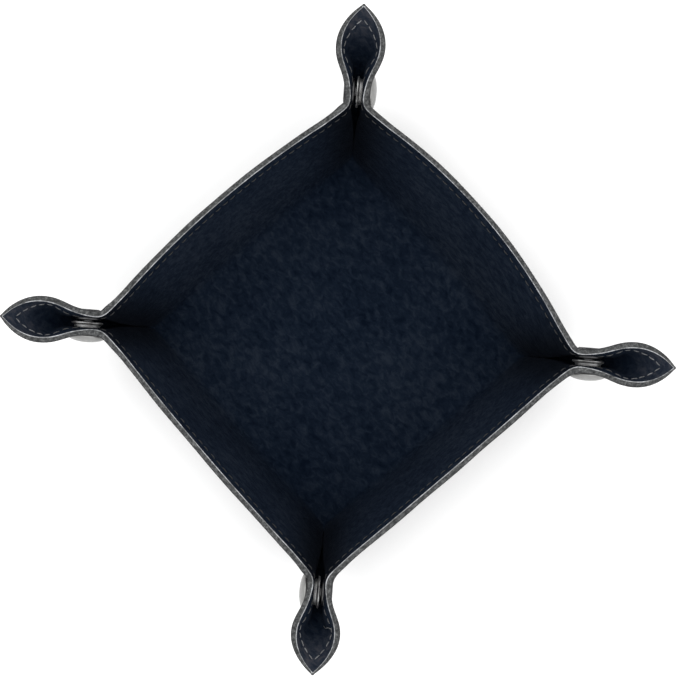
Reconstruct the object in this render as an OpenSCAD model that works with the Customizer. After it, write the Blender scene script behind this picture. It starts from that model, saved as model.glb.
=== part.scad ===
// Folding dice tray: one stitched square of leather lined with velvet, whose corners are pinched
// and held by press studs. Floor on z = 0, sides along x and y, front at -y.

/* [Sheet] */
// Side of the flat square sheet
sheet_side = 210; // [190:1:230]
// Half of the flat floor's side
floor_half = 54; // [50:0.5:58]
// Thickness of the leather
leather_t = 2.0; // [1.6:0.1:2.2]
// Thickness of the velvet lining
lining_t = 0.65; // [0.5:0.05:0.75]
// Distance of the stitch line from the edge
stitch_inset = 3.9; // [3.5:0.1:4.5]
// Distance from stitch to stitch
stitch_pitch = 3.6; // [3.2:0.1:4.2]

/* [Walls] */
// Slope of the front wall at the middle of its side, in degrees
slope_front = 75.6; // [64:0.1:76]
// Slope of the right wall at the middle of its side, in degrees
slope_right = 65.4; // [64:0.1:76]
// Slope of the back wall at the middle of its side, in degrees
slope_back = 69.9; // [64:0.1:76]
// Slope of the left wall at the middle of its side, in degrees
slope_left = 74.4; // [64:0.1:76]
// Slope of every wall beside a pinched corner, in degrees
slope_end = 76.4; // [75:0.1:78]
// Distance along the rim from the middle of a side to the crease of a corner
crease_at = 61.8; // [61:0.1:62.5]
// Step of the smoothing that rounds a crease
crease_round = 2.2; // [1.8:0.1:2.6]

/* [Pinched corners] */
// Slope of the fold line under a corner, in degrees
fold_slope = 41.6; // [40:0.1:43]
// Half opening at the neck, as a share of the distance from the floor's corner
neck_share = 0.054; // [0.053:0.001:0.062]
// Half width of the leaf, as a share of the distance from the floor's corner
leaf_share = 0.135; // [0.12:0.001:0.15]
// Place of the widest point between the crease and the fold line
leaf_at = 0.72; // [0.66:0.01:0.78]

/* [Press studs] */
// Diameter of the domed cap
cap_d = 15; // [13:0.5:15]
// Height of the cap over the leather
cap_h = 2.8; // [2:0.1:3.5]
// Distance of the stud's axis from the tray's axis
stud_r = 98; // [97.5:0.5:99]
// Height of the stud's axis
stud_z = 38; // [37:0.5:39]
// Distance of the sheet's middle from the corner plane at the stud
stud_y = 3.3; // [3.3:0.05:3.6]

/* [Hidden] */
$fn = 48;
half = sheet_side / 2;
rise = half - floor_half;
total_t = leather_t + lining_t;
z0 = total_t / 2;                    // height of the floor's middle surface
glue = 0.03;                         // clearance between the two layers
leather = [-z0, -z0 + leather_t];    // layers, measured from the middle surface inwards
lining = [-z0 + leather_t + glue, z0];
corner_r = floor_half * sqrt(2);
fixed_gap = 0.6;                     // half gap between panels of one body
hinge_gap = 1.55;                    // half gap between panels that fold on each other
fold_gap = 0.25;                     // distance of an ear panel from the corner plane
ear_start = 0.15;                    // share of the way up at which the ear panels start
stitch_k = (rise - stitch_inset) / rise;
crease_angle = atan((crease_at - floor_half) / rise);
sector = 45 - crease_angle;
crease_slope = atan2(rise * sin(slope_end),
    (crease_at - floor_half + rise * cos(slope_end)) / sqrt(2));

leather_c = [0.15, 0.15, 0.16];
velvet_c = [0.08, 0.09, 0.14];
thread_c = [0.66, 0.67, 0.66];
cap_c = [0.62, 0.62, 0.62];
steel_c = [0.75, 0.75, 0.76];

// Sides and corners are counted anticlockwise, from the back side and the back right corner
SLOPES = [slope_back, slope_left, slope_front, slope_right];
FREE = [0, 1, 0, 0];                 // 1 where the lifting ear is on the anticlockwise side

// ---- middle surface of half a side, from its middle to the fold line of a corner ----
// s runs along the rim and k runs from the floor, 0, to the rim, 1
function smooth(x) = let (c = max(0, min(1, x))) c * c * (3 - 2 * c);
// Profile of a pinched corner on a unit sphere: [slope, half width]
function profile(q) = q < leaf_at
    ? [crease_slope - q * (crease_slope - fold_slope),
       neck_share + (leaf_share - neck_share) * smooth(q / leaf_at)]
    : let (e = 90 * (q - leaf_at) / (1 - leaf_at))
      [crease_slope - (crease_slope - fold_slope) * (leaf_at + (1 - leaf_at) * sin(e)),
       leaf_share * cos(e)];
steps = 40;
shape = [for (i = [0:steps]) profile(i / steps)];
function arc_to(i) = i == 0 ? 0 : arc_to(i - 1)
    + norm([shape[i][0] - shape[i - 1][0], (shape[i][1] - shape[i - 1][1]) * 180 / PI]);
arcs = [for (i = [0:steps]) arc_to(i) / arc_to(steps)];
slope_table = [for (i = [0:steps]) [arcs[i], shape[i][0]]];
width_table = [for (i = [0:steps]) [arcs[i], shape[i][1]]];

function wall_slope(s, mid) = mid + (slope_end - mid) * pow(s / crease_at, 2);
function wall_point(s, k, mid) = let (
    x0 = s * floor_half / crease_at, a = wall_slope(s, mid))
    [x0 + (s - x0) * k, floor_half + rise * k * cos(a), z0 + rise * k * sin(a)];
// A point of the ear as [along the diagonal, away from the corner plane, up]
function ear_local(s, k) = let (
    reach = norm([s - floor_half, rise]) * k,
    share = (atan((s - floor_half) / rise) - crease_angle) / sector,
    a = lookup(share, slope_table), w = lookup(share, width_table), n = sqrt(1 - w * w),
    r = corner_r + reach * n * cos(a), z = z0 + reach * n * sin(a),
    near = 1 - smooth((norm([r - stud_r, z - stud_z]) - 9.5) / 4.5))
    [r, reach * w * (1 - near) + stud_y * near, z];
function ear_point(s, k) = let (p = ear_local(s, k))
    [(p[0] - p[1]) / sqrt(2), (p[0] + p[1]) / sqrt(2), p[2]];
function sharp_point(s, k, mid) = s < crease_at ? wall_point(s, k, mid) : ear_point(min(s, half), k);
function middle_point(s, k, mid) = let (d = crease_round * min(1, (half - s) / 20))
    (sharp_point(s - 2 * d, k, mid) + 3 * sharp_point(s - d, k, mid) + 4 * sharp_point(s, k, mid)
     + 3 * sharp_point(s + d, k, mid) + sharp_point(s + 2 * d, k, mid)) / 12;
// Unit vector across the sheet, towards the inside of the tray
function inward(s, k, mid) = let (
    s1 = min(s, half - 0.3),
    n = cross(middle_point(s1 + 0.2, k, mid) - middle_point(s1, k, mid),
              middle_point(s1, k, mid) - middle_point(s1, k - 0.01, mid))) n / norm(n);
// At the floor a wall ends on the mitre of the fold
function sheet_point(s, k, off, mid) = k == 0
    ? [s * floor_half / crease_at, floor_half + 0.02 - off * tan(wall_slope(s, mid) / 2), z0 + off]
    : middle_point(s, k, mid) + off * inward(s, k, mid);
function half_point(s, k, off, mid) = let (p = sheet_point(abs(s), k, off, mid))
    s < 0 ? [-p[0], p[1], p[2]] : p;

// ---- building blocks ----
// Closed solid between two offsets of the sheet, over a grid of s and k
module panel(columns, rows, layer, mid) {
    nc = len(columns);
    nr = len(rows);
    top = nc * nr;
    points = [for (off = layer, s = columns, k = rows) half_point(s, k, off, mid)];
    function at(i, j) = i * nr + j;
    function edge(a, b) = [[a, b, top + b], [a, top + b, top + a]];
    faces = concat(
        [for (i = [0:nc - 2], j = [0:nr - 2]) each
            [[at(i + 1, j + 1), at(i + 1, j), at(i, j)], [at(i, j + 1), at(i + 1, j + 1), at(i, j)]]],
        [for (i = [0:nc - 2], j = [0:nr - 2]) each
            [[top + at(i, j), top + at(i + 1, j), top + at(i + 1, j + 1)],
             [top + at(i, j), top + at(i + 1, j + 1), top + at(i, j + 1)]]],
        [for (i = [0:nc - 2]) each edge(at(i, 0), at(i + 1, 0))],
        [for (i = [0:nc - 2]) each edge(at(i + 1, nr - 1), at(i, nr - 1))],
        [for (j = [0:nr - 2]) each edge(at(0, j + 1), at(0, j))],
        [for (j = [0:nr - 2]) each edge(at(nc - 1, j), at(nc - 1, j + 1))]);
    polyhedron(points, [for (f = faces) [f[2], f[1], f[0]]]);
}
function spread(a, b, n) = [for (i = [0:n]) a + (b - a) * i / n];

// Wall of one side; the two ends leave the gap that the ear beside them needs
module wall_panel(side, layer) {
    right_gap = FREE[side] == 1 ? hinge_gap : fixed_gap;
    left_gap = FREE[(side + 1) % 4] == 0 ? hinge_gap : fixed_gap;
    rotate(90 * side)
        panel(concat(spread(-crease_at + left_gap, -54, 3), spread(-45, 45, 8),
                     spread(54, crease_at - right_gap, 3)),
              spread(0, 1, 4), layer, SLOPES[side]);
}

// Places a child drawn for the back half of the back right corner
module at_ear(corner, anticlockwise) {
    rotate(90 * corner)
        if (anticlockwise) children();
        else mirror([1, -1, 0]) children();
}
function is_ccw(corner, free) = (FREE[corner] == 1) == free;
function mid_of(corner, ccw) = SLOPES[ccw ? corner : (corner + 3) % 4];

// z along the stud's axis, away from the corner plane
module at_stud()
    translate([stud_r / sqrt(2), stud_r / sqrt(2), stud_z]) rotate([0, 0, 45]) rotate([-90, 0, 0])
        children();

// Half of a pinched corner, with the hole for its press stud
module ear_panel(corner, free, layer) {
    ccw = is_ccw(corner, free);
    start = crease_at + (free ? hinge_gap : fixed_gap);
    at_ear(corner, ccw) difference() {
        intersection() {
            panel(concat(spread(start, 82, 12), spread(84.5, half, 8)),
                  concat(spread(ear_start, 0.45, 2), spread(0.53, 0.93, 5), [1]),
                  layer, mid_of(corner, ccw));
            rotate([0, 0, 45]) translate([40, fold_gap, 0]) cube([120, 60, 80]);
        }
        at_stud() cylinder(r = 2.1, h = 12);
    }
}

// One stitch lying on the sheet, at the distance u along the stitch line
function s_at(u) = let (x = u > floor_half + (crease_at - floor_half) * stitch_k
        ? floor_half + (u - floor_half) / stitch_k
        : u / (floor_half / crease_at * (1 - stitch_k) + stitch_k)) x;
module stitch(u, off, mid) {
    s = s_at(abs(u));
    p = half_point(sign(u) * s, stitch_k, off, mid);
    a = sheet_point(s_at(abs(u) - 1), stitch_k, off, mid);
    b = sheet_point(s_at(abs(u) + 1), stitch_k, off, mid);
    t0 = (b - a) / norm(b - a);
    n0 = inward(s, stitch_k, mid);
    m = u < 0 ? [-1, 1, 1] : [1, 1, 1];
    t = [t0[0] * m[0], t0[1], t0[2]];
    n = [n0[0] * m[0], n0[1], n0[2]];
    w = cross(n, t);
    multmatrix([[t[0], w[0], n[0], p[0]], [t[1], w[1], n[1], p[1]], [t[2], w[2], n[2], p[2]]])
        cube([2.7, 0.6, 0.4], center = true);
}
module stitches(places, mid) {
    for (u = places, off = [-z0 - 0.46, z0 + 0.46]) stitch(u, off, mid);
}

// ---- parts ----
module floor_layer(layer) {
    mitre = tan(72 / 2);
    bottom = floor_half - 0.1 - layer[0] * mitre;
    top = floor_half - 0.1 - layer[1] * mitre;
    translate([0, 0, z0 + layer[0]]) linear_extrude(height = layer[1] - layer[0], scale = top / bottom)
        square(2 * bottom, center = true);
}
module floor_leather() color(leather_c) floor_layer(leather);
module floor_lining() color(velvet_c) floor_layer(lining);
module wall_leather(side) color(leather_c) wall_panel(side, leather);
module wall_lining(side) color(velvet_c) wall_panel(side, lining);
module wall_thread(side) color(thread_c) rotate(90 * side)
    stitches(spread(-57.6, 57.6, round(115.2 / stitch_pitch)), SLOPES[side]);
module ear_leather(corner, free) color(leather_c) ear_panel(corner, free, leather);
module ear_lining(corner, free) color(velvet_c) ear_panel(corner, free, lining);
module ear_thread(corner, free) color(thread_c) at_ear(corner, is_ccw(corner, free))
    stitches([for (i = [0:9]) 64.8 + i * stitch_pitch], mid_of(corner, is_ccw(corner, free)));

// Domed cap outside the lifting half, with the rivet that passes through the sheet
module snap_cap(corner) color(cap_c) at_ear(corner, is_ccw(corner, true)) at_stud() {
    face = stud_y + z0 + 0.2;
    rotate_extrude() polygon(concat(
        [[0, 1.2], [2.5, 1.2], [2.5, 1.3], [1.9, 1.38], [1.9, face], [cap_d / 2 - 0.4, face],
         [cap_d / 2, face + 0.35]],
        [for (i = [1:10]) let (a = 9 * i)
            [(cap_d / 2) * cos(a), face + 0.35 + (cap_h - 0.35) * sin(a)]]));
}
// Socket inside the lifting half; its mouth takes the stud's head
module snap_socket(corner) color(steel_c) at_ear(corner, is_ccw(corner, true)) at_stud()
    rotate_extrude() polygon([[2.0, 1.45], [3.8, 1.45], [3.8, -0.05], [3.3, -0.05], [3.3, -0.45],
        [5.6, -0.45], [6.2, -0.2], [6.3, 0.15], [6.1, 0.5], [5.2, 0.85], [5.0, 1.88], [2.0, 1.88]]);
// Split ring spring held in the socket
module snap_ring(corner) color(steel_c) at_ear(corner, is_ccw(corner, true)) at_stud()
    translate([0, 0, 0.45]) rotate([0, 0, 110]) rotate_extrude(angle = 325)
        translate([3.42, 0]) circle(r = 0.28, $fn = 20);
// Stud inside the fixed half
module snap_stud(corner) color(steel_c) at_ear(corner, is_ccw(corner, false)) at_stud()
    rotate_extrude() polygon([[1.65, 1.88], [1.65, -0.75], [2.1, -0.95], [2.5, -0.8], [2.7, -0.45],
        [2.5, 0], [2.3, 0.3], [2.3, 0.95], [4.7, 1.05], [5.2, 1.35], [5.2, 1.88]]);
// Post outside the fixed half, with the barrel that passes through the sheet and the stud
module snap_post(corner) color(steel_c) at_ear(corner, is_ccw(corner, false)) at_stud() {
    face = stud_y + z0 + 0.2;
    rotate_extrude() polygon([[0.9, -0.5], [1.55, -0.5], [1.55, face], [4.3, face],
        [4.5, face + 0.2], [4.1, face + 0.5], [0.9, face + 0.55]]);
}

// ---- assembly ----
floor_leather();
floor_lining();
wall_leather(0);  // wall_leather_back
wall_leather(1);  // wall_leather_left
wall_leather(2);  // wall_leather_front
wall_leather(3);  // wall_leather_right
wall_lining(0);  // wall_lining_back
wall_lining(1);  // wall_lining_left
wall_lining(2);  // wall_lining_front
wall_lining(3);  // wall_lining_right
wall_thread(0);  // wall_thread_back
wall_thread(1);  // wall_thread_left
wall_thread(2);  // wall_thread_front
wall_thread(3);  // wall_thread_right
ear_leather(0, false);  // ear_leather_fixed_back_right
ear_leather(0, true);  // ear_leather_lift_back_right
ear_leather(1, false);  // ear_leather_fixed_back_left
ear_leather(1, true);  // ear_leather_lift_back_left
ear_leather(2, false);  // ear_leather_fixed_front_left
ear_leather(2, true);  // ear_leather_lift_front_left
ear_leather(3, false);  // ear_leather_fixed_front_right
ear_leather(3, true);  // ear_leather_lift_front_right
ear_lining(0, false);  // ear_lining_fixed_back_right
ear_lining(0, true);  // ear_lining_lift_back_right
ear_lining(1, false);  // ear_lining_fixed_back_left
ear_lining(1, true);  // ear_lining_lift_back_left
ear_lining(2, false);  // ear_lining_fixed_front_left
ear_lining(2, true);  // ear_lining_lift_front_left
ear_lining(3, false);  // ear_lining_fixed_front_right
ear_lining(3, true);  // ear_lining_lift_front_right
ear_thread(0, false);  // ear_thread_fixed_back_right
ear_thread(0, true);  // ear_thread_lift_back_right
ear_thread(1, false);  // ear_thread_fixed_back_left
ear_thread(1, true);  // ear_thread_lift_back_left
ear_thread(2, false);  // ear_thread_fixed_front_left
ear_thread(2, true);  // ear_thread_lift_front_left
ear_thread(3, false);  // ear_thread_fixed_front_right
ear_thread(3, true);  // ear_thread_lift_front_right
snap_cap(0);  // snap_cap_back_right
snap_cap(1);  // snap_cap_back_left
snap_cap(2);  // snap_cap_front_left
snap_cap(3);  // snap_cap_front_right
snap_socket(0);  // snap_socket_back_right
snap_socket(1);  // snap_socket_back_left
snap_socket(2);  // snap_socket_front_left
snap_socket(3);  // snap_socket_front_right
snap_ring(0);  // snap_ring_back_right
snap_ring(1);  // snap_ring_back_left
snap_ring(2);  // snap_ring_front_left
snap_ring(3);  // snap_ring_front_right
snap_stud(0);  // snap_stud_back_right
snap_stud(1);  // snap_stud_back_left
snap_stud(2);  // snap_stud_front_left
snap_stud(3);  // snap_stud_front_right
snap_post(0);  // snap_post_back_right
snap_post(1);  // snap_post_back_left
snap_post(2);  // snap_post_front_left
snap_post(3);  // snap_post_front_right
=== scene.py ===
import math
import bpy
import numpy as np
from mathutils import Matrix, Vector


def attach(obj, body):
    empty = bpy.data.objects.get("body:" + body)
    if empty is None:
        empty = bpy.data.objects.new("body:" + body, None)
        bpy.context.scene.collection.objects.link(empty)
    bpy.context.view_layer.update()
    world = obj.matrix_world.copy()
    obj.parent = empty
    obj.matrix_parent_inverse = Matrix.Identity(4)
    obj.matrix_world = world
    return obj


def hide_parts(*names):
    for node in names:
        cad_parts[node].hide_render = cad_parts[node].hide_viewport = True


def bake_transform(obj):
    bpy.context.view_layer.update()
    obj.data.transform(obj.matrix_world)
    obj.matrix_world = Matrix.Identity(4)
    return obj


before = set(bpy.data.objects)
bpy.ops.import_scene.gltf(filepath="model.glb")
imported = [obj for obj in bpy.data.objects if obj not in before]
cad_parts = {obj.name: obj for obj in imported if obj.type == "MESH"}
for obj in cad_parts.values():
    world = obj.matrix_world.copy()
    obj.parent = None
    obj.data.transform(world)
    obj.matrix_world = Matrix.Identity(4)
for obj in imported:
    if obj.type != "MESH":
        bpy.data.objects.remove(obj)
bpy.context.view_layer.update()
rng = np.random.default_rng(7)
MM = 0.001

# ---------------------------------------------------------------- sizes, in millimetres
# The sheet is one flat square, and a point of it has flat coordinates (u, v) from its middle.
HALF = 105.0                # half the side of the flat square
FLOOR = 54.0                # half the side of the floor, which stays flat
RISE = HALF - FLOOR
THICK = 2.65                # leather and velvet together
Z0 = THICK / 2              # height of the floor's middle surface
SLOPES = np.radians([69.9, 74.4, 75.6, 65.4])           # of the walls at their middles, from the back one
SLOPE_END = math.radians(76.4)                          # of every wall beside a corner
CREASE = 61.8               # from the middle of a side to the crease of a corner, along the rim
ROUND, SOONER = 2.2, 3.6    # step of the smoothing that rounds a crease, and what its wall side adds
BEND_START, BEND_LENGTH = 54.0, 10.0                    # where along the rim that addition fades out
TIP_FADE = 20.0             # the smoothing fades out over this distance from a tip
TAPS = {-2: 1, -1: 3, 0: 4, 1: 3, 2: 1}                 # the smoothing: weight by step

# Corners go anticlockwise from the back right, and so do the sides from the back
CORNERS = ["back_right", "back_left", "front_left", "front_right"]
FREE = [0, 1, 0, 0]                                     # 1: the lifting half ear is on the anticlockwise side
FOLDS = np.radians([41.6, 41.6, 44.2, 41.6])            # slope of the fold under each corner
NECK = 0.054                # half opening at a neck, as a share of the distance from the floor's corner
LEAF = np.array([0.144, 0.134, 0.141, 0.126])           # half width of each ear's leaf, as the same share
LEAF_AT = 0.72              # place of the widest point, from the crease (0) to the fold (1)
STUD_R, STUD_Z, STUD_Y = 98.0, 38.0, 3.3                # stud: along the diagonal, up, off the corner's plane
SEAT, SEAT_EDGE = 9.5, 4.5  # radius of the flat seat around the stud, and the width of its soft edge

STITCH = HALF - 3.9         # the row of stitches
PITCH, FIRST_STITCH, STITCH_COUNT = 3.6, -99.0, 56
STITCH_SUNK = 0.04          # depth of a stitch's axis under the face

NECK_FROM = 58.2            # where a neck piece starts, along the rim
LEAF_FROM = 35.5            # where a leaf piece starts, in degrees from the wall about the floor's corner
CREASE_ANGLE = math.atan((CREASE - FLOOR) / RISE)
SECTOR = math.pi / 4 - CREASE_ANGLE
CREASE_SLOPE = math.atan2(RISE * math.sin(SLOPE_END),
                          (CREASE - FLOOR + RISE * math.cos(SLOPE_END)) / math.sqrt(2))


# ---------------------------------------------------------------- the sheet's middle surface
def smooth(x):
    x = np.clip(x, 0.0, 1.0)
    return x * x * (3 - 2 * x)


def profile(leaf, fold):
    """Slope and half width of a half ear, by the share of its arc from the crease to the fold."""
    share = np.linspace(0, 1, 81)
    closing = np.pi / 2 * np.clip((share - LEAF_AT) / (1 - LEAF_AT), 0, 1)
    span = CREASE_SLOPE - fold
    slope = np.where(share < LEAF_AT, CREASE_SLOPE - share * span,
                     CREASE_SLOPE - span * (LEAF_AT + (1 - LEAF_AT) * np.sin(closing)))
    width = np.where(share < LEAF_AT, NECK + (leaf - NECK) * smooth(share / LEAF_AT),
                     leaf * np.cos(closing))
    arc = np.concatenate([[0], np.cumsum(np.hypot(np.diff(slope), np.diff(width)))])
    return arc / arc[-1], slope, width


PROFILES = [profile(leaf, fold) for leaf, fold in zip(LEAF, FOLDS)]


def sharp(s, k, mid, table):
    """The right half of the back side, before its creases are rounded.

    s is the distance from the side's middle along the rim, and k goes from 0 at the floor to 1 at the rim.
    """
    along = np.minimum(s, CREASE)
    foot = along * FLOOR / CREASE
    slope = mid + (SLOPE_END - mid) * (along / CREASE) ** 2
    wall = np.stack([foot + (along - foot) * k, FLOOR + RISE * k * np.cos(slope),
                     Z0 + RISE * k * np.sin(slope)], -1)
    past = np.clip(s, CREASE, HALF)
    reach = np.hypot(past - FLOOR, RISE) * k
    share = (np.arctan((past - FLOOR) / RISE) - CREASE_ANGLE) / SECTOR
    arc, slopes, widths = table
    slope, width = np.interp(share, arc, slopes), np.interp(share, arc, widths)
    level = np.sqrt(1 - width * width)
    r = FLOOR * math.sqrt(2) + reach * level * np.cos(slope)
    z = Z0 + reach * level * np.sin(slope)
    seat = 1 - smooth((np.hypot(r - STUD_R, z - STUD_Z) - SEAT) / SEAT_EDGE)
    y = reach * width * (1 - seat) + STUD_Y * seat
    ear = np.stack([(r - y) / math.sqrt(2), (r + y) / math.sqrt(2), z], -1)
    return np.where((s < CREASE)[..., None], wall, ear)


def half_side(s, k, mid, table):
    """The same with rounded creases; on the wall side of a crease the sheet starts to bend sooner."""
    step = ROUND + SOONER * (1 - smooth((s - BEND_START) / BEND_LENGTH))
    step = step * np.minimum(1, (HALF - s) / TIP_FADE)
    return sum(w * sharp(s + tap * step, k, mid, table) for tap, w in TAPS.items()) / sum(TAPS.values())


def side_of(u, v):
    """The side that a flat point belongs to, and its place there: along the side, and out from the middle."""
    side = np.where(v >= np.abs(u), 0, np.where(-u > np.abs(v), 1, np.where(-v >= np.abs(u), 2, 3)))
    return side, np.choose(side, [u, v, -u, -v]), np.choose(side, [v, -u, -v, u])


def turn(side, p):
    """Points of the back side, turned to the given side."""
    x, y = p[..., 0], p[..., 1]
    return np.stack([np.choose(side, [x, -y, -x, y]), np.choose(side, [y, x, -y, -x]), p[..., 2]], -1)


def crisp(u, v):
    """The middle surface over the flat square, with the folds at the floor still sharp."""
    side, along, out = side_of(u, v)
    points = np.stack([u, v, np.full_like(u, Z0)], -1)
    up = out > FLOOR + 1e-6
    k = np.where(up, (out - FLOOR) / RISE, 1.0)
    a = np.abs(along)
    s = a / ((FLOOR / CREASE) * (1 - k) + k)
    s = np.where(s > CREASE, np.clip(FLOOR + (a - FLOOR) / k, CREASE, HALF), s)
    for i in range(4):
        for sign in (1, -1):
            m = up & (side == i) & ((along >= 0) if sign > 0 else (along < 0))
            if m.any():
                corner = i if sign > 0 else (i + 1) % 4
                p = half_side(s[m], k[m], SLOPES[i], PROFILES[corner])
                p[:, 0] *= sign
                points[m] = turn(np.full(m.sum(), i), p)
    return points


# The folds are rounded by smoothing the sheet on an even grid over the flat square
STEP, REACH_OUT = 1.0, 112.0
EVEN = np.arange(-REACH_OUT, REACH_OUT + 0.5 * STEP, STEP)
TIGHT, LOOSE = 1.5, 4.6     # the smoothing at the corners, and along the middle of each side's fold


def blurred(p, sigma):
    n = int(math.ceil(3 * sigma / STEP))
    w = np.exp(-0.5 * (np.arange(-n, n + 1) * STEP / sigma) ** 2)
    w /= w.sum()
    for axis in (0, 1):
        pad = [(n, n) if a == axis else (0, 0) for a in range(3)]
        q = np.pad(p, pad, mode="reflect", reflect_type="odd")
        size = p.shape[axis]
        p = sum(w[i] * (q[i:i + size] if axis == 0 else q[:, i:i + size]) for i in range(2 * n + 1))
    return p


def soft_sheet():
    """The rounded middle surface and its normals, on the even grid."""
    u, v = np.meshgrid(EVEN, EVEN, indexing="ij")
    p = crisp(u, v)
    big, small = np.maximum(np.abs(u), np.abs(v)), np.minimum(np.abs(u), np.abs(v))
    loose = smooth((48 - small) / 20) * (1 - smooth((np.abs(big - FLOOR) - 8) / 14))
    middle = blurred(p, TIGHT) * (1 - loose[..., None]) + blurred(p, LOOSE) * loose[..., None]
    normal = np.cross(np.gradient(middle, axis=0), np.gradient(middle, axis=1))
    return middle, normal / np.linalg.norm(normal, axis=-1, keepdims=True)


EVEN_MIDDLE, EVEN_NORMAL = soft_sheet()


def cubic(t):
    return [((-0.5 * t + 1) * t - 0.5) * t, (1.5 * t - 2.5) * t * t + 1,
            ((-1.5 * t + 2) * t + 0.5) * t, (0.5 * t - 0.5) * t * t]


def between(grid, u, v):
    """Cubic interpolation in the even grid."""
    fu, fv = (u + REACH_OUT) / STEP, (v + REACH_OUT) / STEP
    iu = np.clip(np.floor(fu).astype(int), 1, len(EVEN) - 3)
    iv = np.clip(np.floor(fv).astype(int), 1, len(EVEN) - 3)
    wu, wv = cubic(fu - iu), cubic(fv - iv)
    return sum(wu[a][..., None] * sum(wv[c][..., None] * grid[iu + a - 1, iv + c - 1] for c in range(4))
               for a in range(4))


def with_normal(u, v):
    """Middle surface and the unit vector towards the inside of the tray."""
    n = between(EVEN_NORMAL, u, v)
    return between(EVEN_MIDDLE, u, v), n / np.linalg.norm(n, axis=-1, keepdims=True)


# ---------------------------------------------------------------- the faces of leather and velvet
EDGE_LINES = [105.0, 104.9, 104.72, 104.45, 104.05, 103.4, 102.6, 101.9, 101.5, 101.1, 100.7, 100.3, 99.6]
INNER_LINES = np.linspace(0, 98.4, 64)[1:]
LINES = np.array(sorted([-x for x in EDGE_LINES] + [-x for x in INNER_LINES] + [0.0]
                        + list(INNER_LINES) + EDGE_LINES))
N = len(LINES)
U, V = np.meshgrid(LINES, LINES, indexing="ij")
BIG, SMALL = np.maximum(np.abs(U), np.abs(V)), np.minimum(np.abs(U), np.abs(V))
MIDDLE, INWARD = with_normal(U, V)
TO_EDGE = HALF - BIG
GROOVE = np.exp(-(np.abs(BIG - STITCH) / 0.75) ** 2)    # the stitches pull the faces in
FROM_CREASE = (SMALL - FLOOR) - (CREASE - FLOOR) * np.clip((BIG - FLOOR) / RISE, 0, 1)


def wrinkles():
    """The leather's outer face is pressed into soft wrinkles where it bends into a neck."""
    near = np.exp(-(FROM_CREASE / 5.5) ** 2) * smooth((BIG - 66) / 14)
    waves = near * (0.5 + 0.5 * np.sin(0.62 * BIG + 0.35 * SMALL + 1.9 * np.sin(0.11 * (U - 0.7 * V))))
    swell = np.sin(0.21 * U + 1.3) * np.sin(0.17 * V + 0.4) * smooth((BIG - 60) / 10)
    return 0.75 * waves ** 1.5 + 0.10 * swell


def painted_light_and_shade():
    """Painted light and shade on the pile, from 0 to 1: painted light at the tips of the ears, which face up,
    and painted shade in the pinches.
    """
    # painted light: the pile is drawn lighter towards the tips, which face up
    tip = smooth((np.hypot(U, V) - 126) / 20)
    # painted shade: the pile is drawn darker where the two halves of a corner pinch together
    pinch = np.exp(-(FROM_CREASE / 13.0) ** 2) * smooth((BIG - 44) / 22)
    return 0.5 + 0.5 * tip - 0.42 * pinch * (1 - tip)


def round_off(d, r):
    """How far a face drops at distance d from the edge, for an edge rounded to radius r."""
    d = np.clip(d, 0, r)
    return r - np.sqrt(np.maximum(r * r - (r - d) ** 2, 0))


def keep_apart(u, v, p, least):
    """The two halves of a pinched corner press against each other and don't cross."""
    sx, sy = np.where(u >= 0, 1, -1), np.where(v >= 0, 1, -1)
    x, y = p[..., 0] * sx, p[..., 1] * sy
    r, off = (x + y) / math.sqrt(2), (y - x) / math.sqrt(2)
    au, av = np.abs(u), np.abs(v)
    own = np.where(av >= au, 1.0, -1.0)
    big = np.maximum(au, av)
    pinched = (big > FLOOR - 1) & (np.minimum(au, av) > 47) & (np.abs(av - au) > 1e-6)
    off = np.where(pinched, np.maximum(off * own, least * smooth((big - FLOOR) / 4)) * own, off)
    q = p.copy()
    q[..., 0] = sx * (r - off) / math.sqrt(2)
    q[..., 1] = sy * (r + off) / math.sqrt(2)
    return np.where(pinched[..., None], q, p)


# Each face: its distance from the middle surface, and the least distance from a corner's plane
FACES = {
    "leather_out": (-Z0 + round_off(TO_EDGE, 0.42) + 0.20 * GROOVE - wrinkles(), 0.5),
    "leather_in": (0.66 - 0.06 * GROOVE, 0.66),
    "lining_out": (0.68 - 0.06 * GROOVE, 0.62),
    "lining_in": (Z0 - round_off(TO_EDGE, 0.3) - 0.26 * GROOVE, 0.06),
}
LOWEST = {"leather_out": 0.0}                           # the leather stands on the floor
FACE_POINTS, FACE_NORMALS = {}, {}
for name, (offset, least) in FACES.items():
    p = keep_apart(U, V, MIDDLE + INWARD * offset[..., None], least)
    p[..., 2] = np.maximum(p[..., 2], LOWEST.get(name, 0.02))
    FACE_POINTS[name] = p.reshape(-1, 3)
    FACE_NORMALS[name] = (INWARD if name.endswith("_in") else -INWARD).reshape(-1, 3)
# painted light and shade on the pile, one value per grid point of the sheet
PAINTED_LIGHT_AND_SHADE = painted_light_and_shade().reshape(-1)
FLAT = np.stack([U.reshape(-1), V.reshape(-1)], 1)


# ---------------------------------------------------------------- the pieces, on the flat square
TRAY, NECK_1, LEAF_1 = 0, 1, 5                          # numbers of the pieces; a corner's index is added


def region(u, v):
    """The number of the piece that a flat point belongs to."""
    side, along, out = side_of(u, v)
    k = (out - FLOOR) / RISE
    a = np.abs(along)
    anticlockwise = along >= 0
    corner = np.where(anticlockwise, side, (side + 1) % 4)
    lifting = (np.array(FREE)[corner] == 1) == anticlockwise
    s = np.where(k > 0, a / np.maximum((FLOOR / CREASE) * (1 - k) + k, 1e-6), 0)
    leaf = np.degrees(np.arctan2(a - FLOOR, np.maximum(out - FLOOR, 1e-6))) > LEAF_FROM
    up = k > 0.02
    number = np.where(up & lifting & (s > NECK_FROM) & ~leaf, NECK_1 + corner, TRAY)
    return np.where(up & leaf, LEAF_1 + corner, number)


CU, CV = (U[:-1, :-1] + U[1:, 1:]) / 2, (V[:-1, :-1] + V[1:, 1:]) / 2
CELLS = region(CU, CV)


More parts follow.
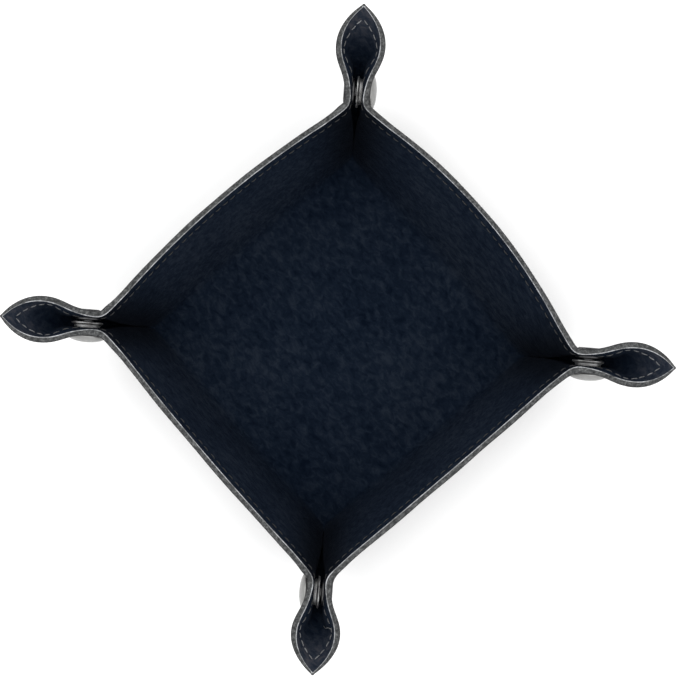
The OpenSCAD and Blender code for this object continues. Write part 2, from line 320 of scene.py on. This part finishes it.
# ---------------------------------------------------------------- meshes
def mesh_object(name, points, faces, normals=None, materials=(), slots=None):
    mesh = bpy.data.meshes.new(name)
    mesh.from_pydata([tuple(x) for x in points * MM], [], [tuple(int(i) for i in f) for f in faces])
    for m in materials:
        mesh.materials.append(m)
    if slots is not None:
        mesh.polygons.foreach_set("material_index", np.array(slots, np.int32))
    mesh.polygons.foreach_set("use_smooth", np.ones(len(mesh.polygons), bool))
    mesh.update()
    if normals is not None:
        mesh.normals_split_custom_set([tuple(x) for x in normals])
    ob = bpy.data.objects.new(name, mesh)
    bpy.context.collection.objects.link(ob)
    return ob


def set_painted_light_and_dust(ob, values):
    # Stores a per-vertex value that the materials read: painted light and shade on the velvet, painted shade
    # and random dust on the thread.
    layer = ob.data.attributes.new("painted_light_and_dust", "FLOAT", "POINT")
    layer.data.foreach_set("value", np.asarray(values).astype(np.float32))


def middle_inside(u, v):
    """The middle surface's grid point 3 mm further from the sheet's edge."""
    m = max(abs(u), abs(v))
    t = (m - 3.0) / m
    return MIDDLE[int(np.argmin(np.abs(LINES - u * t))), int(np.argmin(np.abs(LINES - v * t)))]


def cut_row(low, high, normal, uv, t, rough):
    """A point across the cut edge, which bulges a little and is ragged."""
    p = low * (1 - t) + high * t
    away = p - middle_inside(*uv)
    away = away - normal * float(away @ normal)
    length = np.linalg.norm(away)
    if length > 1e-6:
        p = p + away / length * (0.10 * math.sin(math.pi * t) + rough * rng.standard_normal())
    return p


def face_normal(q):
    n = np.cross(q[2] - q[0], q[3] - q[1])
    return n / (np.linalg.norm(n) + 1e-12)


def slab(name, number, low, high, materials, edge_rows, rough):
    """A closed piece of one layer between two faces of the sheet. Materials: face, cut edge."""
    ci, cj = np.nonzero(CELLS == number)
    quads = np.stack([ci * N + cj, (ci + 1) * N + cj, (ci + 1) * N + cj + 1, ci * N + cj + 1], 1)
    used, inverse = np.unique(quads, return_inverse=True)
    quads = inverse.reshape(quads.shape)
    n = len(used)
    low_points, high_points = FACE_POINTS[low][used], FACE_POINTS[high][used]
    low_normals, high_normals = FACE_NORMALS[low][used], FACE_NORMALS[high][used]
    flat = FLAT[used]
    faces = [list(q[::-1]) for q in quads] + [list(q + n) for q in quads]
    normals = [low_normals[i] for q in quads for i in q[::-1]]
    normals += [high_normals[i] for q in quads for i in q]
    slots = [0] * len(faces)

    directed = {(int(a), int(b)): True for q in quads for a, b in zip(q, np.roll(q, -1))}
    rim = [(a, b) for (a, b) in directed if (b, a) not in directed]
    at_edge = {i: np.abs(flat[i]).max() > HALF - 0.01 for e in rim for i in e}
    column, new = {}, []    # at each rim point, its vertices from the low face to the high face
    for i in sorted(at_edge):
        column[i] = [i]
        for r in range(1, edge_rows):
            t = r / edge_rows
            column[i].append(2 * n + len(new))
            new.append(cut_row(low_points[i], high_points[i], high_normals[i], flat[i], t, rough)
                       if at_edge[i] else low_points[i] * (1 - t) + high_points[i] * t)
        column[i].append(i + n)
    points = np.concatenate([low_points, high_points, np.array(new)])
    for a, b in rim:
        for j in range(edge_rows):
            f = [column[a][j], column[b][j], column[b][j + 1], column[a][j + 1]]
            faces.append(f)
            slots.append(1 if at_edge[a] and at_edge[b] else 0)
            normals += [face_normal(points[f])] * 4
    ob = mesh_object(name, points, faces, normals, materials, slots)
    # the faces get the painted light and shade; the cut edge's rows get the middle value
    set_painted_light_and_dust(ob, np.concatenate([PAINTED_LIGHT_AND_SHADE[used], PAINTED_LIGHT_AND_SHADE[used], np.full(len(new), 0.5)]))
    return ob


# ---------------------------------------------------------------- materials
class Shader:
    """A material with a Principled shader, and short ways to add the other nodes."""

    def __init__(self, name):
        self.material = bpy.data.materials.new(name)
        self.material.use_nodes = True
        self.tree = self.material.node_tree
        self.inputs = self.tree.nodes["Principled BSDF"].inputs

    def node(self, kind, **settings):
        x = self.tree.nodes.new(kind)
        for key, value in settings.items():
            setattr(x, key, value)
        return x

    def link(self, output, socket):
        self.tree.links.new(output, socket)

    def position(self, scale=(1, 1, 1)):
        mapping = self.node("ShaderNodeMapping")
        mapping.inputs["Scale"].default_value = scale
        self.link(self.node("ShaderNodeTexCoord").outputs["Object"], mapping.inputs["Vector"])
        return mapping.outputs["Vector"]

    def noise(self, position, scale, detail=4.0, rough=0.55, distortion=0.0):
        x = self.node("ShaderNodeTexNoise")
        x.inputs["Scale"].default_value = scale
        x.inputs["Detail"].default_value = detail
        x.inputs["Roughness"].default_value = rough
        x.inputs["Distortion"].default_value = distortion
        self.link(position, x.inputs["Vector"])
        return x.outputs["Fac"]

    def ramp(self, factor, stops):
        """Stops are (place, colour) or (place, (grey,))."""
        x = self.node("ShaderNodeValToRGB")
        elements = x.color_ramp.elements
        while len(elements) < len(stops):
            elements.new(0.5)
        for element, (place, colour) in zip(elements, stops):
            element.position = place
            element.color = (*(colour * 3 if len(colour) == 1 else colour), 1.0)
        self.link(factor, x.inputs["Fac"])
        return x.outputs["Color"]

    def mix(self, a, b, factor, **settings):
        x = self.node("ShaderNodeMix", **settings)
        x.inputs["Factor"].default_value = factor
        self.link(a, x.inputs["A"])
        self.link(b, x.inputs["B"])
        return x.outputs["Result"]

    def multiply(self, a, b):
        return self.mix(a, b, 1.0, data_type="RGBA", blend_type="MULTIPLY")

    def by_painted_light_and_dust(self, stops):
        # A ramp over the per-vertex painted light and shade (with random dust on the thread).
        x = self.node("ShaderNodeAttribute")
        x.attribute_name = "painted_light_and_dust"
        return self.ramp(x.outputs["Fac"], stops)

    def bump(self, height, strength, distance, normal=None):
        x = self.node("ShaderNodeBump")
        x.inputs["Strength"].default_value = strength
        x.inputs["Distance"].default_value = distance
        self.link(height, x.inputs["Height"])
        if normal is not None:
            self.link(normal, x.inputs["Normal"])
        return x.outputs["Normal"]

    def finish(self, colour, roughness, specular, normal):
        """Roughness and specular are numbers or outputs."""
        self.link(colour, self.inputs["Base Color"])
        self.link(normal, self.inputs["Normal"])
        if isinstance(roughness, float):
            self.inputs["Roughness"].default_value = roughness
        else:
            self.link(roughness, self.inputs["Roughness"])
        self.inputs["Specular IOR Level"].default_value = specular
        return self.material


def leather_material():
    m = Shader("leather")
    v = m.position()
    cells = m.node("ShaderNodeTexVoronoi", feature="DISTANCE_TO_EDGE")
    cells.inputs["Scale"].default_value = 900.0
    m.link(v, cells.inputs["Vector"])
    grain = m.ramp(cells.outputs["Distance"], [(0.0, (0.0,)), (0.22, (1.0,))])
    fine = m.noise(v, 420.0, 3.0)
    colour = m.ramp(m.noise(v, 26.0, 5.0, 0.6), [(0.3, (0.0085, 0.0085, 0.0095)),
                                                 (0.7, (0.019, 0.019, 0.021))])
    roughness = m.ramp(fine, [(0.3, (0.42,)), (0.75, (0.62,))])
    creased = m.bump(m.noise(v, 95.0, 4.0, 0.6, 1.2), 0.35, 0.0016)
    grained = m.bump(grain, 0.30, 0.00022, creased)
    return m.finish(colour, roughness, 0.22, m.bump(fine, 0.25, 0.0002, grained))


def edge_material():
    m = Shader("leather_cut_edge")
    v = m.position()
    fibres = m.noise(v, 900.0, 6.0, 0.7)
    colour = m.ramp(fibres, [(0.32, (0.012, 0.013, 0.014)), (0.5, (0.052, 0.054, 0.055)),
                             (0.68, (0.150, 0.153, 0.153))])
    shade = m.ramp(m.noise(v, 120.0, 3.0), [(0.3, (0.72,)), (0.7, (1.0,))])
    return m.finish(m.multiply(colour, shade), 0.9, 0.2, m.bump(fibres, 0.8, 0.0006))


def backing_material():
    """The velvet's pale woven back, which shows as a thin line along the cut edge."""
    m = Shader("velvet_backing")
    v = m.position()
    fibres = m.noise(v, 1100.0, 4.0, 0.7)
    both = m.mix(fibres, m.noise(v, 160.0, 4.0, 0.6), 0.55, data_type="FLOAT")
    colour = m.ramp(both, [(0.36, (0.04, 0.042, 0.045)), (0.48, (0.20, 0.205, 0.21)),
                           (0.64, (0.46, 0.47, 0.49))])
    return m.finish(colour, 0.95, 0.1, m.bump(fibres, 0.7, 0.0004))


def velvet_material():
    m = Shader("velvet")
    v = m.position()
    pile = m.noise(v, 1500.0, 4.0, 0.75)
    brushed = m.noise(m.position((1.0, 0.6, 1.0)), 420.0, 4.0, 0.66, 0.5)
    both = m.mix(m.noise(v, 26.0, 5.0, 0.6, 0.5), brushed, 0.70, data_type="FLOAT")
    colour = m.ramp(both, [(0.36, (0.0060, 0.0136, 0.0310)), (0.5, (0.0160, 0.0288, 0.0536)),
                           (0.64, (0.0372, 0.0540, 0.0830))])
    # painted light and shade: dark in the pinches, lighter and warmer towards the ears' tips
    light = m.by_painted_light_and_dust([(0.0, (0.02,)), (0.5, (0.295, 0.290, 0.295)), (1.0, (1.0, 0.69, 0.53))])
    m.inputs["Sheen Weight"].default_value = 0.013
    m.inputs["Sheen Roughness"].default_value = 0.45
    m.inputs["Sheen Tint"].default_value = (0.55, 0.68, 1.0, 1.0)
    nap = m.bump(brushed, 0.35, 0.0010)
    return m.finish(m.multiply(colour, light), 0.95, 0.02, m.bump(pile, 0.6, 0.00035, nap))


def thread_material():
    """Grey thread, dark with painted shade except at the tips of the ears, and with dust that differs from
    stitch to stitch.
    """
    m = Shader("thread")
    twist = m.noise(m.position(), 2600.0, 2.0)
    colour = m.ramp(twist, [(0.3, (0.07, 0.072, 0.076)), (0.7, (0.24, 0.245, 0.25))])
    # painted shade: the thread is drawn dark away from the ears' tips
    light = m.by_painted_light_and_dust([(0.0, (0.07,)), (1.0, (1.0,))])
    return m.finish(m.multiply(colour, light), 0.6, 0.5, m.bump(twist, 0.6, 0.00015))


def metal_material(name, grey, roughness):
    m = Shader(name)
    v = m.position()
    fine = m.noise(v, 700.0, 4.0, 0.6)
    colour = m.ramp(m.noise(v, 140.0, 3.0), [(0.3, tuple(c * 0.82 for c in grey)), (0.7, grey)])
    m.inputs["Metallic"].default_value = 1.0
    brushed = m.ramp(fine, [(0.3, (roughness * 0.8,)), (0.75, (roughness * 1.35,))])
    return m.finish(colour, brushed, 0.5, m.bump(fine, 0.08, 0.0001))


LEATHER, EDGE, BACKING = leather_material(), edge_material(), backing_material()
VELVET, THREAD = velvet_material(), thread_material()
CAP = metal_material("cap_metal", (0.27, 0.27, 0.265), 0.38)
STEEL = metal_material("snap_steel", (0.55, 0.55, 0.55), 0.40)
POST = metal_material("post_metal", (0.085, 0.085, 0.088), 0.34)
METALS = {"snap_cap": CAP, "snap_socket": STEEL, "snap_ring": STEEL, "snap_stud": POST, "snap_post": POST}

# ---------------------------------------------------------------- stitches
RINGS, AROUND = 7, 8
PER_STITCH = RINGS * AROUND


def stitch(side, face, centre, slant, length):
    """Flat place and distance from the middle surface, for every vertex of one stitch."""
    t = np.repeat(np.linspace(-1, 1, RINGS), AROUND)
    turned = np.tile(2 * np.pi * np.arange(AROUND) / AROUND, RINGS)
    swell = np.sqrt(np.maximum(0.0, 1 - np.abs(t) ** 3.2)) * (1 + 0.10 * np.cos(9 * t))
    swell = np.maximum(swell, 0.12)
    height = 0.22 * swell * np.sin(turned) - 0.20 * t * t
    along, out = centre + length * t, STITCH + slant * t + 0.24 * swell * np.cos(turned)
    u = (along, -out, -along, out)[side]
    v = (out, along, -out, -along)[side]
    return u, v, face * (Z0 - STITCH_SUNK + height)


def sewn():
    """For each stitch: the piece that it belongs to, its face (1 inside, -1 outside) and its vertices."""
    out = []
    for side in range(4):
        for i in range(STITCH_COUNT):
            centre = FIRST_STITCH + PITCH * i + 0.12 * rng.standard_normal()
            slant = 0.10 * rng.standard_normal()
            length = 1.36 + 0.06 * rng.standard_normal()
            u = (centre, -STITCH, -centre, STITCH)[side]
            v = (STITCH, centre, -STITCH, -centre)[side]
            number = int(region(np.array([u]), np.array([v]))[0])
            for face in (1, -1):
                su, sv, height = stitch(side, face, centre, slant, length)
                p, inward = with_normal(su, sv)
                out.append((number, face, p + inward * height[:, None]))
    return out


SEWN = sewn()


def tube(base, rings, around, flip=False):
    """Faces of a closed tube whose vertices are counted ring by ring from base."""
    faces = []
    for r in range(rings - 1):
        for j in range(around):
            a, b = base + r * around, base + (r + 1) * around
            faces.append([a + j, a + (j + 1) % around, b + (j + 1) % around, b + j])
    faces.append([base + j for j in range(around)][::-1])
    faces.append([base + (rings - 1) * around + j for j in range(around)])
    return [f[::-1] for f in faces] if flip else faces


def loose_end(points, faces):
    """The end of the thread, which hangs from one stitch of the front left ear."""
    steps, around = 9, 6
    (a, b), (normal, normal_b) = with_normal(np.array([-84.0, -86.0]), np.array([-101.1, -94.0]))
    a, b = a + normal * 1.5, b + normal_b * 1.7
    way = (b - a) / np.linalg.norm(b - a)
    x = np.cross(way, normal)
    x /= np.linalg.norm(x)
    y = np.cross(way, x)
    faces += tube(len(points), steps, around)
    for i in range(steps):
        t = i / (steps - 1)
        c = a + (b - a) * t + normal * 0.5 * math.sin(math.pi * t) + x * 0.25 * math.sin(2.2 * math.pi * t)
        for j in range(around):
            g = 2 * math.pi * j / around
            points.append(c + (x * math.cos(g) + y * math.sin(g)) * 0.2 * (1 - 0.25 * t))


def stitches(name, number):
    points, faces = [], []
    for piece, face, vertices in SEWN:
        if piece == number:
            faces += tube(len(points), RINGS, AROUND, flip=face < 0)
            points += list(vertices)
    if number == LEAF_1 + CORNERS.index("front_left"):
        loose_end(points, faces)
    points = np.array(points)
    ob = mesh_object(name, points, faces, None, [THREAD])
    clean = rng.random(len(points) // PER_STITCH + 1).repeat(PER_STITCH)[:len(points)]
    # painted shade: darker further in from the ears' tips; each stitch is also dustier or cleaner at random
    set_painted_light_and_dust(ob, smooth((np.hypot(points[:, 0], points[:, 1]) - 98) / 22) * (0.6 + 0.4 * clean))
    return ob


# ---------------------------------------------------------------- pieces and bodies
NODES = list(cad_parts)


def has(word):
    return [n for n in NODES if word in n]


def layer_pieces(number, tag):
    leather = slab("leather_" + tag, number, "leather_out", "leather_in", [LEATHER, EDGE], 4, 0.035)
    velvet = slab("velvet_" + tag, number, "lining_out", "lining_in", [VELVET, BACKING], 2, 0.02)
    threads = stitches("thread_" + tag, number)
    return leather, velvet, threads


root = layer_pieces(TRAY, "tray")
for piece in root:
    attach(piece, "tray")
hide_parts("floor_leather", *has("wall_leather"), *has("ear_leather_fixed"))
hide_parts("floor_lining", *has("wall_lining"), *has("ear_lining_fixed"))
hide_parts(*has("wall_thread"), *has("ear_thread_fixed"))


for i, corner in enumerate(CORNERS):
    neck = layer_pieces(NECK_1 + i, "neck_" + corner)
    for piece in neck:
        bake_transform(piece)
    leaf = layer_pieces(LEAF_1 + i, "leaf_" + corner)
    for piece in leaf:
        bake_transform(piece)
    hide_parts("ear_leather_lift_" + corner)
    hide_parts("ear_lining_lift_" + corner)
    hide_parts("ear_thread_lift_" + corner)

for kind, metal in METALS.items():
    for name in has(kind):
        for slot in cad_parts[name].material_slots:
            slot.material = metal


# ---------------------------------------------------------------- floor, light and camera, in metres
LIT_POINT = (0, 0, 0.02)                                # both lights point here
LIGHT_SIZE, KEY_POWER, FILL_POWER = 1.6, 9.0, 6.0
PICTURE_UP = math.radians(49.4)                         # the picture's up, as an angle on the floor
CAMERA_HEIGHT, LENS, SENSOR = 0.9, 117.2, 36.0          # lens and sensor in millimetres
SHIFT_RIGHT, SHIFT_UP = 0.000385, 0.001155              # the camera isn't quite over the middle
def plane(name, size, z):
    mesh = bpy.data.meshes.new(name)
    h = size / 2
    mesh.from_pydata([(-h, -h, z), (h, -h, z), (h, h, z), (-h, h, z)], [], [(0, 1, 2, 3)])
    ob = bpy.data.objects.new(name, mesh)
    bpy.context.collection.objects.link(ob)
    return ob


def area_light(name, place, size, power):
    light = bpy.data.lights.new(name, "AREA")
    light.shape = "SQUARE"
    light.size = size
    light.energy = power
    ob = bpy.data.objects.new(name, light)
    ob.location = place
    ob.rotation_euler = (Vector(LIT_POINT) - Vector(place)).to_track_quat("-Z", "Y").to_euler()
    bpy.context.collection.objects.link(ob)


white = Shader("studio_white")
white.inputs["Base Color"].default_value = (0.93, 0.93, 0.93, 1)
white.inputs["Roughness"].default_value = 1.0
white.inputs["Specular IOR Level"].default_value = 0.0
ground = plane("studio_floor", 12.0, -0.0003)
ground.data.materials.append(white.material)

world = bpy.data.worlds.new("studio")
world.use_nodes = True
world.node_tree.nodes["Background"].inputs["Color"].default_value = (1, 1, 1, 1)
world.node_tree.nodes["Background"].inputs["Strength"].default_value = 1.3
bpy.context.scene.world = world

# The camera looks straight down
up_dir = np.array([math.cos(PICTURE_UP), math.sin(PICTURE_UP), 0.0])
right_dir = np.array([math.sin(PICTURE_UP), -math.cos(PICTURE_UP), 0.0])
key_place = up_dir * 0.5 - right_dir * 0.5 + np.array([0, 0, 1.3])
fill_place = -up_dir * 0.7 + right_dir * 0.6 + np.array([0, 0, 1.2])
area_light("key", tuple(key_place), LIGHT_SIZE, KEY_POWER)
area_light("fill", tuple(fill_place), LIGHT_SIZE, FILL_POWER)

cam = bpy.data.cameras.new("camera")
cam.lens = LENS
cam.sensor_width = SENSOR
cam.clip_end = 50.0
camera = bpy.data.objects.new("camera", cam)
shift = right_dir * SHIFT_RIGHT + up_dir * SHIFT_UP
camera.location = (shift[0], shift[1], CAMERA_HEIGHT)
camera.rotation_euler = (0.0, 0.0, PICTURE_UP - math.pi / 2)
bpy.context.collection.objects.link(camera)
bpy.context.scene.camera = camera
bpy.context.scene.view_settings.view_transform = "Standard"
